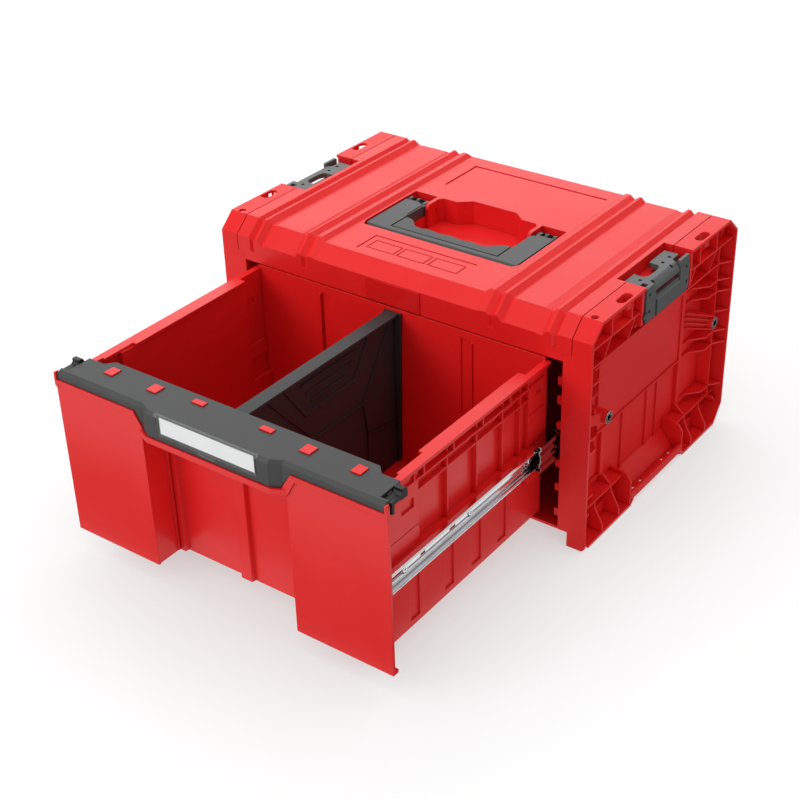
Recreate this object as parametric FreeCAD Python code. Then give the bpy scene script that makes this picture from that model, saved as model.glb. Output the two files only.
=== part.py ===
import FreeCAD, Part
import math
import os

# Stackable drawer case, all sizes in millimetres.
# Working frame: X right, Y from the front face to the back, Z up, case front
# face at y = 0, floor at z = 0.  The finished pieces are moved so that the
# origin is the bottom centre of the whole object with its drawer open.

V = FreeCAD.Vector

# ---------------------------------------------------------------- driving sizes
HALF_W = 225.0          # half width over the end caps
DEPTH = 300.0           # case depth
HEIGHT = 250.0          # case height
SEAM_X = 203.3          # seam between the main shell and an end cap
SEAM_GAP = 0.9          # width of the seam where it shows
OPEN_X = 194.2          # half width of the drawer opening
HEAD_Z = 207.5          # underside of the header over the drawer
SILL_Z = 19.5           # top of the front sill
STEP_Z = 216.6          # height where the shell steps out over the end cap
BEV_Y, BEV_Z = 17.7, 234.0      # front top bevel: from z = BEV_Z at y = 0 to y = BEV_Y at the top
BACK_Y, BACK_Z = 281.0, 233.0   # back top bevel
FOOT_Y, FOOT_Z = 283.6, 21.0    # back bottom bevel
ARCH0, ARCH1, ARCH_Z = 99.0, 206.0, 7.0   # raised stretch between the feet
SKIN = 3.0              # wall of the end caps

TRAVEL = 272.0          # drawer travel
D_FRONT = -272.0        # front plane of the drawer when open
D_WALL = 172.0          # outer face of the drawer side walls
D_IN = 169.0            # inner face of the drawer side walls
D_ZONE = 177.0          # outer face of the stepped ends of the side walls and of their ribs
D_BOT = 24.0            # underside of the drawer
D_FLOOR = 26.6          # inside floor of the drawer
D_TOP = 203.0           # rim of the drawer
D_BACK_IN, D_BACK = -1.0, 1.6   # back wall of the drawer, inner and outer face
BACK_TOP = 206.4        # top of the back wall of the drawer
WING_X = 193.4          # half width of the drawer front
WING_IN = 85.5          # finger recess half width
WING_Z0 = 23.0          # lowest edge of the drawer front
REC_Y = -237.0          # wall behind the finger recess
REC_Z = 171.8           # ceiling of the finger recess
RAIL_Z = 204.5          # top of the front rail
TAB_Z = 205.6           # top of the snap tabs that show through the rail

SL_Z = 113.0            # slide centre height
MID_RATIO = 0.14        # share of the drawer travel that the middle member takes
SL_OUT, SL_MID, SL_IN = 18.1, 14.3, 10.5   # half heights of the slide members
SL_T = 1.0              # slide sheet
BALL_R = 1.3            # balls of the slides
SL_LEN = 280.0          # slide member length
SL_Y0 = 8.0             # front end of the fixed slide member

HINGE_Y, HINGE_Z = 156.0, 239.6   # carry handle pivot
HINGE_R = 2.6           # carry handle pin radius
LATCH_X, LATCH_Z = 220.2, 212.0   # side latch pivot
LATCH_R = 1.8           # side latch pin radius
CATCH_Y, CATCH_Z = -259.0, 198.3  # catch bar pivot
CATCH_R = 1.2
RUN = 0.08              # running clearance of the pins

EYE_Y = (39.5, 265.0)   # eyelets on each end cap
EYE_Z, EYE_X = 136.5, 223.2
EYE_R = 3.2             # bore of an eyelet
EYE_IN = 197.3          # inner end of an eyelet

ORIGIN_Y = (DEPTH - 278.0) / 2.0  # bottom centre of the open object


# ---------------------------------------------------------------- helpers
def face(pts):
    pts = [V(*p) for p in pts]
    return Part.Face(Part.makePolygon(pts + [pts[0]]))


def px(pts, a, b):
    """Prism of a (y, z) outline from x = a to x = b."""
    return face([(a, y, z) for y, z in pts]).extrude(V(b - a, 0, 0))


def py(pts, a, b):
    """Prism of an (x, z) outline from y = a to y = b."""
    return face([(x, a, z) for x, z in pts]).extrude(V(0, b - a, 0))


def pz(pts, a, b):
    """Prism of an (x, y) outline from z = a to z = b."""
    return face([(x, y, a) for x, y in pts]).extrude(V(0, 0, b - a))


def box(x0, x1, y0, y1, z0, z1):
    return Part.makeBox(x1 - x0, y1 - y0, z1 - z0, V(x0, y0, z0))


def cyl(r, p, d, h):
    return Part.makeCylinder(r, h, V(*p), V(*d))


def fuse(items):
    s = items[0]
    if len(items) > 1:
        s = s.multiFuse(items[1:])
    return s.removeSplitter()


def cut(s, items):
    return s.cut(Part.makeCompound(items)) if items else s


def mir(s):
    return s.mirror(V(0, 0, 0), V(1, 0, 0))


def both(items):
    return items + [mir(s) for s in items]


def slot_z(x, y0, y1, r, z0, z1):
    """Round ended slot along Y."""
    return fuse([box(x - r, x + r, y0 + r, y1 - r, z0, z1),
                 cyl(r, (x, y0 + r, z0), (0, 0, 1), z1 - z0),
                 cyl(r, (x, y1 - r, z0), (0, 0, 1), z1 - z0)])


def solids(s):
    return s.Solids if s.Solids else [s]


NODES = {}


def put(name, s):
    NODES[name] = s


# ---------------------------------------------------------------- side outline
OUT = [(0, 0), (0, BEV_Z), (BEV_Y, HEIGHT), (BACK_Y, HEIGHT), (DEPTH, BACK_Z),
       (DEPTH, FOOT_Z), (FOOT_Y, 0), (ARCH1 + 4, 0), (ARCH1 - 3, ARCH_Z),
       (ARCH0 + 3, ARCH_Z), (ARCH0 - 4, 0)]


def inner_outline(t):
    """The side outline moved inwards by t."""
    n = len(OUT)
    res = []
    for i in range(n):
        p0, p1, p2 = OUT[i - 1], OUT[i], OUT[(i + 1) % n]
        d1 = (p1[0] - p0[0], p1[1] - p0[1])
        d2 = (p2[0] - p1[0], p2[1] - p1[1])
        l1, l2 = math.hypot(*d1), math.hypot(*d2)
        d1, d2 = (d1[0] / l1, d1[1] / l1), (d2[0] / l2, d2[1] / l2)
        n1, n2 = (d1[1], -d1[0]), (d2[1], -d2[0])
        k = t / (1 + n1[0] * n2[0] + n1[1] * n2[1])
        res.append((p1[0] + k * (n1[0] + n2[0]), p1[1] + k * (n1[1] + n2[1])))
    return res


# ---------------------------------------------------------------- relief of the top
# half profile across the top: x, drop below the highest plane, and the drop
# (measured straight down) on the two bevels
PROF = [(0, 3.7, 1.5), (97.8, 3.7, 1.5), (102.7, 0, 0), (107.7, 0, 0),
        (113.9, 3.4, 4.6), (118.7, 0, 0), (121.0, 0, 0), (126.4, 4.4, 5.9),
        (129.3, 3.5, 4.85), (162.6, 3.5, 4.85), (170.4, 4.8, 6.4),
        (176.2, 0, 0), (178.9, 0, 0), (184.0, 3.8, 5.1), (187.5, 0, 0)]


def relief_cutters():
    res = []
    full = [(-x, a, b) for x, a, b in reversed(PROF[1:])] + PROF
    groups, cur = [], []
    for i, (x, a, b) in enumerate(full):
        cur.append((x, a, b))
        if a == 0 and b == 0 and len(cur) > 1:
            if any(c[1] > 0 for c in cur):
                groups.append(cur)
            cur = [(x, a, b)]
    sb = (HEIGHT - BEV_Z) / BEV_Y
    sk = (HEIGHT - BACK_Z) / (DEPTH - BACK_Y)
    up = 30.0
    for g in groups:
        x0, x1 = g[0][0], g[-1][0]
        top = [(x, HEIGHT - a) for x, a, b in g]
        top = [(x0, HEIGHT + up)] + top + [(x1, HEIGHT + up)]
        res.append(py(top, -20, DEPTH + 20))
        # front bevel: the same shape pushed along the slope of the bevel
        yb = -20.0
        zb = BEV_Z + sb * yb
        pts = [(x0, yb, zb + up)] + [(x, yb, zb - b) for x, a, b in g] + [(x1, yb, zb + up)]
        res.append(face(pts).extrude(V(0, 70, 70 * sb)))
        yb = DEPTH + 20.0
        zb = BACK_Z - sk * 20.0
        pts = [(x0, yb, zb + up)] + [(x, yb, zb - b) for x, a, b in g] + [(x1, yb, zb + up)]
        res.append(face(pts).extrude(V(0, -70, 70 * sk)))
    return res


def keep_front(items):
    return items


# ---------------------------------------------------------------- main shell
def make_shell():
    hx = SEAM_X - SEAM_GAP / 2
    skin = px([(0, HEAD_Z), (0, BEV_Z), (BEV_Y, HEIGHT), (BACK_Y, HEIGHT),
               (DEPTH, BACK_Z), (DEPTH, 11.0), (297, 11.0), (297, 226.7),
               (279, 242.8), (19.7, 242.8), (3.2, 227.9), (3.2, 210.7),
               (12, 210.7), (12, HEAD_Z)], -hx, hx)
    add = [skin,
           box(-193.5, 193.5, 0, 297.0, SILL_Z - 3.0, SILL_Z),  # floor panel, its front edge is the sill
           box(-204.8, 204.8, 294.0, 297.0, ARCH_Z, 14.0),
           box(-100.0, 100.0, 70.5, 186.5, 216.4, 244.0)]        # tub under the handle
    for x in (-150.0, -75.0, 0.0, 75.0, 150.0):
        add.append(box(x - 1.25, x + 1.25, 10.0, 296.0, 10.0, SILL_Z - 2.0))
    for sx in (-1, 1):
        a, b = sorted((sx * 200.2, sx * hx))
        add.append(px(inner_outline(1.5), a, b).common(box(a, b, 2.0, 296.0, STEP_Z + 0.1, 244.0)))   # side skirt
        a, b = sorted((sx * 189.5, sx * hx))
        add.append(box(a, b, 95.5, 202.0, 233.0, 244.0))         # pad under the latch recess
        a, b = sorted((sx * 202.0, sx * 204.8))
        add.append(box(a, b, 8.0, 297.0, ARCH_Z, 12.0))
        # the floor steps down to a strip under each end cap
        a, b = sorted((sx * 191.5, sx * 204.8))
        add.append(box(a, b, 8.0, 297.0, 11.0, 14.0))
        a, b = sorted((sx * 191.5, sx * 193.5))
        add.append(box(a, b, 8.0, 297.0, 11.0, SILL_Z))
    s = fuse(add)
    cuts = relief_cutters()
    for sx in (-1, 1):
        # the shell steps in below the shoulder, where the end cap takes over
        a, b = sorted((sx * (OPEN_X - 0.1), sx * 230))
        cuts.append(box(a, b, -5, 305, 14.0, STEP_Z + 0.1))
        a, b = sorted((sx * 205.0, sx * 230))
        cuts.append(box(a, b, -5, 305, -5, 14.0))
        a, b = sorted((sx * 192.5, sx * 230))
        cuts.append(box(a, b, 100.0, 196.0, 236.0, 260.0))       # latch recess
        # short grooves that run down the front face under two of the ribs
        for x, w in ((113.9, 3.2), (184.0, 2.6)):
            cuts.append(pz([(sx * x - w, -1), (sx * x - w, 0), (sx * x, 2.0),
                            (sx * x + w, 0), (sx * x + w, -1)], 219.0, 240.0))
    # recess of the carry handle: the bar, a channel for each arm, the finger pocket
    cuts.append(pz([(-95, 146.4), (-95, 80), (-91, 73), (91, 73), (95, 80), (95, 146.4)], 232.6, 260))
    for sx in (-1, 1):
        a, b = sorted((sx * 66.0, sx * 95.0))
        cuts.append(box(a, b, 140.0, 170.5, 232.6, 260.0))
    cuts.append(pz([(-66, 84), (66, 84), (66, 146.4), (62, 146.4), (62, 166), (58, 170.5), (41, 170.5), (27, 182),
                    (-27, 182), (-41, 170.5), (-58, 170.5), (-62, 166), (-62, 146.4), (-66, 146.4)], 219.6, 260))
    # corner lines on the top and a row of plain frames
    top = HEIGHT - 3.7
    for x0, x1, y0, y1 in ((-79.0, -76.0, 202, 263.5), (-79.0, 90.0, 260.5, 263.5)):
        cuts.append(box(x0, x1, y0, y1, top - 1.3, 260))
    for x0, x1, y0, y1 in ((-64.0, -62.0, 24, 58), (-64.0, 61, 56.0, 58.0)):
        cuts.append(box(x0, x1, y0, y1, top - 0.9, 260))
    for x0, x1 in ((-56, -22), (-19, 15), (19, 54.6)):
        ring = box(x0, x1, 30, 48.5, top - 0.8, 260).cut(box(x0 + 1.4, x1 - 1.4, 31.4, 47.1, top - 1.8, 261))
        cuts.append(ring)
    # holes for the pins and screws
    for sx in (-1, 1):
        cuts.append(cyl(HINGE_R, (sx * 63.0, HINGE_Y, HINGE_Z), (sx, 0, 0), 35.0))
        # small slot in the ear beside the arm, and the rounded corner of the ear
        a, b = sorted((sx * 61.0, sx * 67.0))
        cuts.append(box(a, b, 160.4, 162.4, 232.8, 237.6))
        cuts.append(px([(146.0, 241.2), (146.5, 241.2), (147.2, 243.6), (148.9, 245.4), (151.2, 246.2), (153.0, 246.8),
                        (153.0, 260.0), (146.0, 260.0)], a, b))
        for y in (40.0, 150.0, 260.0):
            cuts.append(cyl(2.0, (sx * 200.0, y, 5.0), (0, 0, 1), 12.0))
            cuts.append(cyl(4.4, (sx * 200.0, y, 5.0), (0, 0, 1), 6.0))
    return cut(s, cuts)


# ---------------------------------------------------------------- end caps
FR_X = 214.7            # outer edge of the inner rib frame
DP_X = 199.0            # outer face of the deep side panel
RIB = 2.0
RIB_Z = (176.4, 162.8, 114.7, 99.5)   # ribs beside the panel


def make_cap():
    """Right end cap."""
    inn = inner_outline(SKIN)
    ring = px(OUT, OPEN_X, HALF_W).cut(px(inn, OPEN_X - 1, HALF_W + 1))
    inn2 = inner_outline(1.5)
    wall = px([(1.5, 14.0), (1.5, STEP_Z), (298.5, STEP_Z), (298.5, 14.0)], 196.0, DP_X)
    add = [ring, wall,
           # shoulder and seam wall beside the shell
           box(196.0, 206.0, 1.5, 298.5, STEP_Z - 3.0, STEP_Z),
           px(inn2, SEAM_X + SEAM_GAP / 2, 206.2).common(box(200, 210, 0, 300, STEP_Z - 2, 251)),
           # bottom box of the cap
           px(inn2, 205.0, 207.5).common(box(200, 210, 0, 300, -1, 17)),
           box(196.0, 207.5, 8.0, 298.5, 14.0, 17.0),
           # slide pad inside
           box(193.8, 197.0, SL_Y0, SL_Y0 + SL_LEN, SL_Z - SL_OUT, SL_Z + SL_OUT)]
    # inner rib frame: two uprights, a shelf under the top, a rail over the feet
    for y in (16.0, 282.0):
        add.append(box(DP_X - 1, FR_X, y, y + RIB, 34.0, 247.5))
    add.append(box(DP_X - 1, FR_X, 95.8, 204.2, 213.8, 215.8))
    add.append(box(DP_X - 1, FR_X, 16.0, 284.0, 195.0, 197.0))
    add.append(box(DP_X - 1, FR_X, 2.0, 93.0, 35.0, 37.0))
    add.append(box(DP_X - 1, FR_X, 207.0, 298.0, 35.0, 37.0))
    # shelf runs out to the rim at both ends
    for z in RIB_Z + (196.0, 47.0):
        prof = [(298.2, DP_X - 1), (298.2, HALF_W - 0.6), (284.0, FR_X), (267.0, FR_X),
                (251.0, 201.8), (234.0, 201.8), (234.0, DP_X - 1)]
        if z > 190:
            prof = [(298.2, DP_X - 1), (298.2, HALF_W - 0.6), (284.0, FR_X), (280.0, DP_X - 1)]
        back = face([(x, y, z - RIB / 2) for y, x in prof]).extrude(V(0, 0, RIB))
        front = face([(x, 300.0 - y, z - RIB / 2) for y, x in prof]).extrude(V(0, 0, RIB))
        add += [back, front]
    z = 138.5
    add.append(face([(DP_X - 1, 298.2, z - 1), (HALF_W - 0.6, 298.2, z - 1), (FR_X, 284.0, z - 1),
                     (DP_X - 1, 280.0, z - 1)]).extrude(V(0, 0, RIB)))
    # outer shelf beside the latch bay, the bays above it with their back wall, the uprights under it
    for y0, y1 in ((2.0, 96.0), (200.0, 298.0)):
        add.append(box(205.0, 222.0, y0, y1, 223.0, 225.0))
        add.append(px(inn2, 210.8, 212.4).common(box(210, 213, y0, y1, 223.0, 249.0)))
    for y in (40.5, 78.5, 219.5, 257.5):
        add.append(box(204.0, 222.0, y, y + RIB, 224.0, 248.5))
    for y in (40.0, 86.0, 212.0, 258.0):
        add.append(py([(DP_X - 1, 196.0), (FR_X, 196.0), (222.0, 224.0), (DP_X - 1, 224.0)], y, y + RIB))
    # uprights under the rail, with edges that run out to the bottom rim
    for y in (36.0, 69.5, 228.5, 262.0):
        add.append(py([(DP_X - 1, 36.0), (FR_X, 36.0), (FR_X, 29.3), (HALF_W - 0.5, 11.2), (HALF_W - 0.5, 2.5),
                       (205.5, 2.5), (205.5, 16.5), (DP_X - 1, 16.5)], y, y + RIB))
    for y in (69.5, 228.5):
        add.append(py([(DP_X - 1, 36.0), (FR_X, 36.0), (201.8, 48.0), (DP_X - 1, 48.0)], y, y + RIB))
    # corner webs
    for y0, y1 in ((284.0, 297.0), (16.0, 3.0)):
        a, b = sorted((y0, y1))
        add.append(px([(y0, 36.0), (y1, 22.0 if y1 > 100 else 30.0), (y1, 19.5 if y1 > 100 else 27.5), (y0, 33.5)],
                      DP_X - 1, 220.0))
    # end walls of the feet
    for y0, y1 in ((92.4, 95.0), (205.0, 207.6)):
        add.append(py([(DP_X - 1, 41.0), (212.0, 41.0), (219.5, 38.5), (HALF_W - 0.5, 31.6), (HALF_W - 0.5, 2.5),
                       (205.5, 2.5), (205.5, 16.5), (DP_X - 1, 16.5)], y0, y1))
    # deep panel relief: plain plate, pilasters, line under the plate
    add += [box(DP_X - 1, 201.6, 58.0, 228.0, 102.0, 180.0),
            box(DP_X - 1, 203.2, 56.0, 231.0, 100.0, 102.2),
            box(DP_X - 1, 203.2, 228.0, 234.6, 46.4, 206.0),
            box(DP_X - 1, 203.2, 65.4, 71.5, 46.4, 100.6),
            box(DP_X - 1, 201.0, 60.0, 226.0, 184.0, 186.5)]
    for y0, y1 in ((112.0, 116.0), (164.0, 170.0), (186.0, 190.0)):
        add.append(box(DP_X - 1, 200.8, y0, y1, 22.0, 101.0))
    # bosses of the two eyelets: a wedge with four sloped ribs that runs up from the deep panel
    for y in EYE_Y:
        d = 1 if y < 150.0 else -1
        add.append(cyl(6.8, (DP_X - 1, y, EYE_Z), (1, 0, 0), EYE_X - DP_X + 1))
        if y < 150.0:
            # the front boss has a short block towards the front instead of the wedge
            add.append(pz([(DP_X - 1, y - 19.0), (213.0, y - 19.0), (219.0, y - 8.0), (219.0, y), (DP_X - 1, y)],
                          130.6, 143.2))
            add.append(box(DP_X - 1, 216.0, y - 14.0, y - 11.0, 142.0, 148.5))
            continue
        wedge = px([(y + d * 25.0, 135.0), (y + d * 25.0, 153.4), (y + d * 3.0, 144.8), (y - d * 3.0, 143.0),
                    (y - d * 3.0, 130.4), (y + d * 3.0, 130.0)], DP_X - 1, 222.5)
        add.append(wedge.common(pz([(DP_X - 1, y + d * 24.6), (200.4, y + d * 24.6), (218.0, y + d * 4.0), (218.0, y - d * 3.0),
                                    (DP_X - 1, y - d * 3.0)], 120.0, 160.0)))
        for za, zc in ((152.4, 144.2), (146.8, 139.6), (140.6, 134.4), (134.4, 129.2)):
            k = (za - zc) / 22.0
            pts = [(DP_X - 1, 25.0), (202.8, 25.0), (206.0, 22.0), (221.0, 5.0), (222.2, 2.6), (222.2, -2.4), (DP_X - 1, -2.4)]
            rib = face([(x, y + d * q, zc + k * (q - 3.0)) for x, q in pts])
            add.append(rib.extrude(V(0, 0, 1.5)))
    # ramp and lip between the feet
    add.append(py([(DP_X - 1, 16.5), (DP_X - 1, 29.0), (199.6, 29.0), (214.2, 11.0), (214.2, 8.5), (205.5, 8.5),
                   (205.5, 16.5)], 94.0, 206.0))
    add.append(box(222.0, HALF_W, 94.0, 206.0, 8.5, 16.3))
    # side walls of the latch bay, with the pin bosses
    for y0, y1 in ((95.8, 99.8), (196.2, 200.2)):
        add.append(box(203.0, 217.0, y0, y1, 206.0, 248.5))
        add.append(box(216.0, 223.2, y0, y1, 209.2, 248.5))
    # bosses over the floor screws
    for y in (40.0, 150.0, 260.0):
        add.append(box(196.5, 203.0, y - 5, y + 5, 14.0, 24.6))
    # round bumps beside the top slots
    for y in (69.7, 230.3):
        add.append(cyl(6.0, (218.8, y, 240.6), (0, 0, 1), 8.4))
    # teeth behind the front band
    for z0, z1 in ((178.0, 187.0), (157.0, 166.0), (128.8, 137.0), (85.5, 94.0), (58.0, 66.0), (28.5, 37.0)):
        add.append(box(187.0, 196.5, 4.6, 7.6, z0, z1))
        add.append(box(194.2, 196.5, 2.5, 7.6, z0, z1))
    s = fuse(add)
    cuts = [box(190, SEAM_X + SEAM_GAP / 2, -5, 305, STEP_Z, 260),
            box(185, 205.0, -5, 305, -5, 14.0),
            box(185, 205.0, -5, 8.0, -5, 16.4),
            # notch in the rim of the front foot, small corner of the front plate
            box(214.0, 230.0, 3.4, 9.0, -1.0, 3.4),
            py([(221.0, -1.0), (226.0, -1.0), (226.0, 4.0)], -1.0, 3.5),
            box(206.2, 230, 99.8, 196.2, 215.9, 260),            # latch bay
            box(200, 230, 99.8, 196.2, 236.0, 260),
            cyl(3.9, (213.7, 22.1, 240.0), (0, 0, 1), 20.0)]
    for y0, y1 in ((58.5, 81.0), (219.0, 241.5)):
        cuts.append(slot_z(217.8, y0, y1, 4.8, 244.0, 260.0))
        cuts.append(box(213.2, 222.4, y0 + 6, y1 - 6, 240.0, 260.0))
    for y in (40.0, 150.0, 260.0):
        cuts.append(cyl(2.0, (200.0, y, 5.0), (0, 0, 1), 18.4))
    for y in (48.0, 148.0, 248.0):
        cuts.append(cyl(1.8, (190.0, y, SL_Z), (1, 0, 0), 8.0))
    for y in EYE_Y:
        cuts.append(cyl(4.4, (190.0, y, EYE_Z), (1, 0, 0), 40.0))
    for y0 in (96.8, 196.2):
        cuts.append(cyl(LATCH_R, (LATCH_X, y0, LATCH_Z), (0, 1, 0), 3.0))
    # small slots above the bottom rim
    for y in (114.0, 130.0, 177.0, 192.5):
        cuts.append(box(215.0, 219.0, y - 3.0, y + 3.0, 5.0, 12.0))
    s = cut(s, cuts)
    return s


# ---------------------------------------------------------------- carry handle
# finger edge of the handle bar, right half, from the middle outwards
SCALLOP = [(0, 99.2), (4, 99.4), (12, 97.4), (20, 98.9), (27, 99.8), (36, 97.6), (43.5, 98.8), (48.0, 102.4),
           (51.5, 106.8), (54.5, 109.8), (58.5, 111.4), (62.5, 111.8), (67.0, 111.8)]


def make_handle():
    z0, z1 = 233.4, 245.6
    left = [(-x, y) for x, y in reversed(SCALLOP[1:])]
    outer = [(-92.5, 156.0), (-92.5, 79.0), (-89.0, 75.6), (89.0, 75.6), (92.5, 79.0), (92.5, 156.0)]
    body = pz(outer, z0, z1)
    inner = [(-67.0, 200.0)] + left + SCALLOP + [(67.0, 200.0)]
    s = body.cut(pz(inner, z0 - 1, z1 + 1))
    ends = []
    for sx in (-1, 1):
        a = 69.4 if sx > 0 else -92.3
        ends.append(cyl(6.0, (a, HINGE_Y, HINGE_Z), (1, 0, 0), 22.9))
    s = fuse([s.cut(box(-100, 100, 149.6, 210, 240.0, 250.0))] + ends)
    cuts = []
    for sx in (-1, 1):
        a, b = sorted((sx * 60.0, sx * 67.0))
        cuts.append(box(a, b, 120.0, 170.0, 230.0, 250.0))
        a, b = sorted((sx * 92.5, sx * 99.0))
        cuts.append(box(a, b, 140.0, 170.0, 230.0, 250.0))
        cuts.append(cyl(HINGE_R + RUN, (sx * 60.0, HINGE_Y, HINGE_Z), (sx, 0, 0), 40.0))
        # the end of the arm is cut at a slant, with two slots over the pin
        cuts.append(pz([(sx * 60.0, 144.6), (sx * 71.0, 145.4), (sx * 74.5, 149.6), (sx * 74.5, 165.0), (sx * 60.0, 165.0)],
                       243.8, 250.0))
        a, b = sorted((sx * 73.4, sx * 79.0))
        cuts.append(box(a, b, 150.8, 160.6, 239.4, 250.0))
        a, b = sorted((sx * 82.4, sx * 88.4))
        cuts.append(box(a, b, 150.8, 160.6, 239.4, 250.0))
        # shallow step along the inner edge of the arm
        a, b = sorted((sx * 66.0, sx * 69.0))
        cuts.append(box(a, b, 118.0, 146.0, 245.0, 250.0))
        # bed of the pad, open towards the fingers
    cuts.append(box(-66.4, 66.4, 85.0, 116.0, 243.4, 250.0))
    # channel under the bar
    cuts.append(box(-58.0, 58.0, 82.5, 94.0, 230.0, 236.0))
    # bevelled front of the bar
    cuts.append(px([(70.0, 238.6), (75.2, 238.6), (79.4, 246.0), (70.0, 246.0)], -95.0, 95.0))
    s = cut(s, cuts)
    edge = [(x, y - 0.3) for x, y in SCALLOP[:-2]] + [(62.5, 111.5), (65.0, 111.5)]
    le = [(-x, y) for x, y in reversed(edge[1:])]
    grip = pz(le + edge + [(65.0, 86.5), (-65.0, 86.5)], 243.4, 245.7)
    try:
        es = [e for e in grip.Edges if abs(e.BoundBox.ZMin - 245.7) < 1e-3]
        grip = grip.makeChamfer(0.45, es)
    except Exception:
        pass
    pins = [cyl(HINGE_R, (63.2, HINGE_Y, HINGE_Z), (1, 0, 0), 34.8)]
    return s, grip, Part.makeCompound(both(pins))


# ---------------------------------------------------------------- side latch
def make_latch():
    """Right latch: two arms in the recess, a bridge over the edge, a plate down the side."""
    zt, zb = 246.4, 240.8
    # plan of the two arms and the bridge between them
    plan = [(197.8, 104.8), (219.5, 103.6), (224.0, 103.6), (224.0, 171.6), (216.2, 171.6), (213.6, 175.0), (213.6, 186.6),
            (212.0, 188.0), (197.8, 187.0), (197.8, 156.4), (199.2, 155.0), (207.6, 154.8), (210.2, 152.6), (211.6, 148.0),
            (212.0, 142.0), (212.0, 132.0), (210.8, 127.2), (207.6, 124.4), (203.0, 123.8), (199.0, 125.4),
            (197.8, 124.6)]
    top = [
        pz(plan, zb, zt),
        # side plate with its two stiles and the raised fin at the back
        box(220.4, 223.6, 103.6, 190.0, 209.0, 243.0),
        px([(103.6, 209.0), (103.6, 246.4), (118.0, 246.4), (122.0, 240.0), (122.0, 209.0)], 219.6, 224.0),
        px([(172.0, 209.0), (172.0, 240.0), (167.0, 244.5), (169.0, 248.6), (190.0, 248.6), (191.2, 247.0), (191.2, 213.0),
            (187.0, 209.0)], 220.8, 224.0),
        px([(172.0, 211.0), (172.0, 240.0), (191.2, 240.0), (191.2, 213.0), (189.2, 211.0)], 219.6, 224.4),
        # thick band under the window
        py([(219.2, 208.2), (223.6, 208.2), (225.0, 210.0), (225.0, 225.4), (223.4, 228.0), (219.2, 228.0)], 124.6, 176.4),
        # tip at the lower front corner
        px([(97.4, 216.2), (97.4, 218.0), (104.6, 220.6), (104.6, 215.6), (99.6, 215.6)], 223.6, 224.9),
        # barrel
        cyl(3.4, (LATCH_X, 103.6, LATCH_Z), (0, 1, 0), 87.6),
    ]
    s = fuse(top)
    cuts = [box(210, 230, 122.6, 171.6, 231.0, 236.6),
            # rounded outer edge of the bridge
            px([(118.4, 0), (118.4, 300), (171.4, 300), (171.4, 0)], 212.0, 226.0).common(
                py([(217.4, 246.5), (219.6, 245.7), (221.6, 243.9), (223.0, 241.4), (223.7, 238.6), (226.0, 238.6),
                    (226.0, 250.0), (217.4, 250.0)], 100.0, 180.0)),
            # open pocket in the front arm
            box(214.4, 220.2, 105.6, 112.6, 236.0, 250.0),
            # recess behind the bridge, so it is a shell
            box(212.6, 219.4, 126.0, 168.0, 239.0, 243.8),
            cyl(LATCH_R + RUN, (LATCH_X, 95.0, LATCH_Z), (0, 1, 0), 14.0),
            cyl(LATCH_R + RUN, (LATCH_X, 186.0, LATCH_Z), (0, 1, 0), 14.0)]
    for x, y in ((209.0, 116.6), (209.2, 162.4), (209.0, 176.8), (219.4, 122.6), (219.0, 161.0)):
        cuts.append(box(x - 1.7, x + 1.7, y - 1.7, y + 1.7, 242.4, 250))
    for y, z in ((110.0, 237.6), (110.0, 219.4), (184.6, 237.2), (186.8, 220.0)):
        cuts.append(box(222.4, 230, y - 1.7, y + 1.7, z - 1.7, z + 1.7))
    s = cut(s, cuts)
    pins = [cyl(LATCH_R, (LATCH_X, 96.8, LATCH_Z), (0, 1, 0), 11.2),
            cyl(LATCH_R, (LATCH_X, 186.6, LATCH_Z), (0, 1, 0), 12.6)]
    return s, Part.makeCompound(pins)


# ---------------------------------------------------------------- drawer
LIP = [(96.5, 190.0), (WING_X, 190.0), (WING_X, 195.0), (91.8, 195.0), (81.0, 178.0), (86.5, 171.8)]
WING_Y = -270.6         # front surface of the two wings
LIP_Y = -272.2          # front surface of the lip under the rail


def rail_plan(y_front_wing, y_front_mid, half_mid=71.0, half_bend=82.5, x_end=192.4):
    """Half plan of the front rail, front edge only, from the middle outwards."""
    return [(0, y_front_mid), (half_mid, y_front_mid), (half_bend, y_front_wing), (x_end, y_front_wing)]


RAIL_BACK = [(190.7, -264.5), (181.5, -264.5), (181.5, -237.0), (162.5, -237.0), (154.5, -228.5), (0, -228.5)]


def full_plan(half_front, half_back):
    r = half_front + half_back
    l = [(-x, y) for x, y in reversed(r) if x != 0]
    return r + l


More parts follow.
